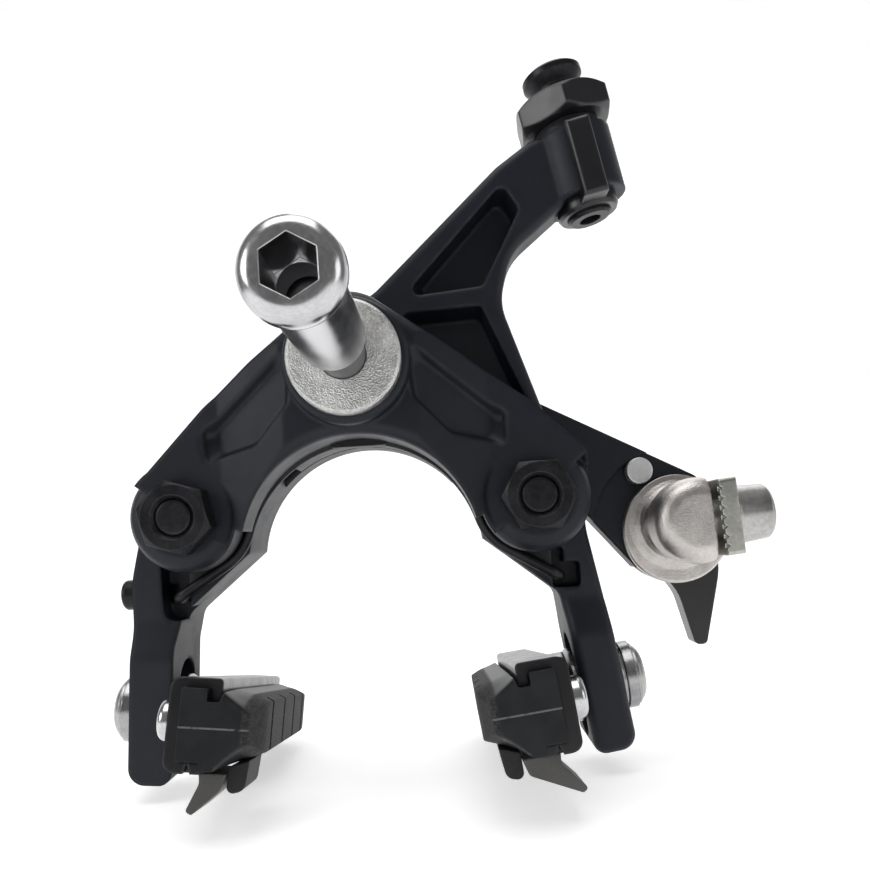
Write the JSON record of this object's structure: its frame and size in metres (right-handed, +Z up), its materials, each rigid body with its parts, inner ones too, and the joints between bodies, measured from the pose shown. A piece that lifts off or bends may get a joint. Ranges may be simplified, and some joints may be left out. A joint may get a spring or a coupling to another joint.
{
  "type": "rim brake caliper",
  "caption": "Dual-pivot short-reach road rim brake caliper with a rear bridge, two linked arms, cable barrel, quick release and canted brake shoes.",
  "frame": {"origin": "on the axis of the mounting bolt, at the rear face of the washer that sits on the bicycle frame", "axes": "+Z up, +Y from the bicycle frame towards the front of the caliper, +X to the right for someone looking along +Y"},
  "size_m": [0.0963, 0.0811, 0.1033],
  "materials": {
    "black_forging": "satin",
    "black_gloss": "semi-gloss",
    "black_oxide": "satin",
    "dark_steel": "satin",
    "plated_washer": "satin",
    "polished_nut": "polished",
    "satin_pin": "satin",
    "satin_cam": "matte",
    "zinc_plate": "satin",
    "satin_bolt": "satin",
    "spring_wire": "satin",
    "bronze": "satin",
    "black_plastic": "matte",
    "pad_rubber": "matte",
    "grey_fin": "matte"
  },
  "bodies": {
    "bridge": {"rear_bridge": "black_forging", "mount_washer": "plated_washer", "mount_bolt": "dark_steel", "return_spring": "spring_wire", "spring_saddle": "black_plastic", "pivot_nut_left": "black_oxide", "pivot_bolt_left": "black_oxide", "pivot_nut_right": "black_oxide", "pivot_bolt_right": "black_oxide"},
    "sleeve": {"sleeve_nut": "polished_nut"},
    "anchor_side": {"anchor_arm": "black_forging", "pivot_bush_left": "bronze", "sync_pin": "dark_steel", "stop_pin": "satin_pin"},
    "roller": {"sync_roller": "black_plastic"},
    "tension_screw": {"spring_screw": "black_oxide"},
    "release": {"release_cam": "satin_cam", "release_lever": "black_gloss", "lever_screw": "black_oxide"},
    "anchor": {"anchor_stud": "polished_nut", "clamp_plate": "zinc_plate"},
    "clamp_screw": {"clamp_bolt": "satin_bolt"},
    "barrel_side": {"barrel_arm": "black_forging", "pivot_bush_right": "bronze", "barrel_clip": "black_gloss", "ring_seal": "black_plastic"},
    "ring": {"adjuster_ring": "black_gloss"},
    "barrel": {"adjusting_barrel": "black_oxide"},
    "shoe_carrier_left": {"inner_dome_washer_left": "plated_washer", "outer_dome_washer_left": "plated_washer"},
    "shoe_left": {"shoe_holder_left": "black_gloss", "brake_pad_left": "pad_rubber", "pad_screw_left": "polished_nut", "guide_fin_left": "grey_fin", "fin_block_left": "pad_rubber", "shoe_stud_left": "satin_bolt", "shoe_nut_left": "satin_bolt", "inner_cup_washer_left": "plated_washer", "outer_cup_washer_left": "plated_washer"},
    "shoe_carrier_right": {"inner_dome_washer_right": "plated_washer", "outer_dome_washer_right": "plated_washer"},
    "shoe_right": {"shoe_holder_right": "black_gloss", "brake_pad_right": "pad_rubber", "pad_screw_right": "polished_nut", "guide_fin_right": "grey_fin", "fin_block_right": "pad_rubber", "shoe_stud_right": "satin_bolt", "shoe_nut_right": "satin_bolt", "inner_cup_washer_right": "plated_washer", "outer_cup_washer_right": "plated_washer"}
  },
  "joints": [
    {"name": "anchor_arm_swing", "type": "hinge", "parent": "bridge", "child": "anchor_side", "pos_m": [-0.0244, 0.0194, -0.019], "axis": [0, -1, 0], "range_deg": [0, 8], "stiffness_Nm_per_rad": 0.8, "springref_deg": -11.46},
    {"name": "barrel_arm_swing", "type": "hinge", "parent": "bridge", "child": "barrel_side", "pos_m": [0.0244, 0.0163, -0.019], "axis": [0, 1, 0], "range_deg": [0, 8], "stiffness_Nm_per_rad": 0.8, "springref_deg": -11.46},
    {"name": "sleeve_nut_turn", "type": "hinge", "parent": "bridge", "child": "sleeve", "pos_m": [0, -0.0215, 0], "axis": [0, -1, 0], "continuous": true},
    {"name": "sync_roller_spin", "type": "hinge", "parent": "anchor_side", "child": "roller", "pos_m": [0, 0.0175, -0.0035], "axis": [0, -1, 0], "continuous": true},
    {"name": "spring_screw_turn", "type": "hinge", "parent": "anchor_side", "child": "tension_screw", "pos_m": [-0.035, 0.019, -0.0296], "axis": [-1, 0, 0], "continuous": true},
    {"name": "quick_release", "type": "hinge", "parent": "anchor_side", "child": "release", "pos_m": [0.0464, 0.0245, -0.0219], "axis": [0, -1, 0], "range_deg": [0, 80]},
    {"name": "anchor_swivel", "type": "hinge", "parent": "release", "child": "anchor", "pos_m": [0.0464, 0.0145, -0.0237], "axis": [0, -1, 0], "range_deg": [-80, 0]},
    {"name": "clamp_bolt_turn", "type": "hinge", "parent": "anchor", "child": "clamp_screw", "pos_m": [0.0464, 0.0113, -0.0237], "axis": [0.9968, 0, 0.0802], "continuous": true},
    {"name": "ring_turn", "type": "hinge", "parent": "barrel_side", "child": "ring", "pos_m": [0.03264, 0.0184, 0.03736], "axis": [-0.2079, 0, 0.9781], "range_deg": [0, 1440]},
    {"name": "barrel_lift", "type": "slide", "parent": "barrel_side", "child": "barrel", "axis": [-0.2079, 0, 0.9781], "range_m": [0, 0.0041]},
    {"name": "shoe_height_left", "type": "slide", "parent": "anchor_side", "child": "shoe_carrier_left", "axis": [0.0802, 0, 0.9968], "range_m": [-0.0045, 0.0045]},
    {"name": "shoe_pitch_left", "type": "hinge", "parent": "shoe_carrier_left", "child": "shoe_left", "pos_m": [-0.0324, 0.0194, -0.0473], "axis": [-0.9898, -0.0645, 0.1268], "range_deg": [-8, 8]},
    {"name": "shoe_height_right", "type": "slide", "parent": "barrel_side", "child": "shoe_carrier_right", "axis": [-0.153, 0, 0.9882], "range_m": [-0.0045, 0.0045]},
    {"name": "shoe_pitch_right", "type": "hinge", "parent": "shoe_carrier_right", "child": "shoe_right", "pos_m": [0.0328, 0.0194, -0.0466], "axis": [0.9933, 0.0105, 0.1149], "range_deg": [-8, 8]}
  ],
  "couplings": [
    {"joint": "barrel_arm_swing", "follows": "anchor_arm_swing", "ratio": 1},
    {"joint": "anchor_swivel", "follows": "quick_release", "ratio": -1},
    {"joint": "barrel_lift", "follows": "ring_turn", "m_per_rad": 0.00015915}
  ]
}
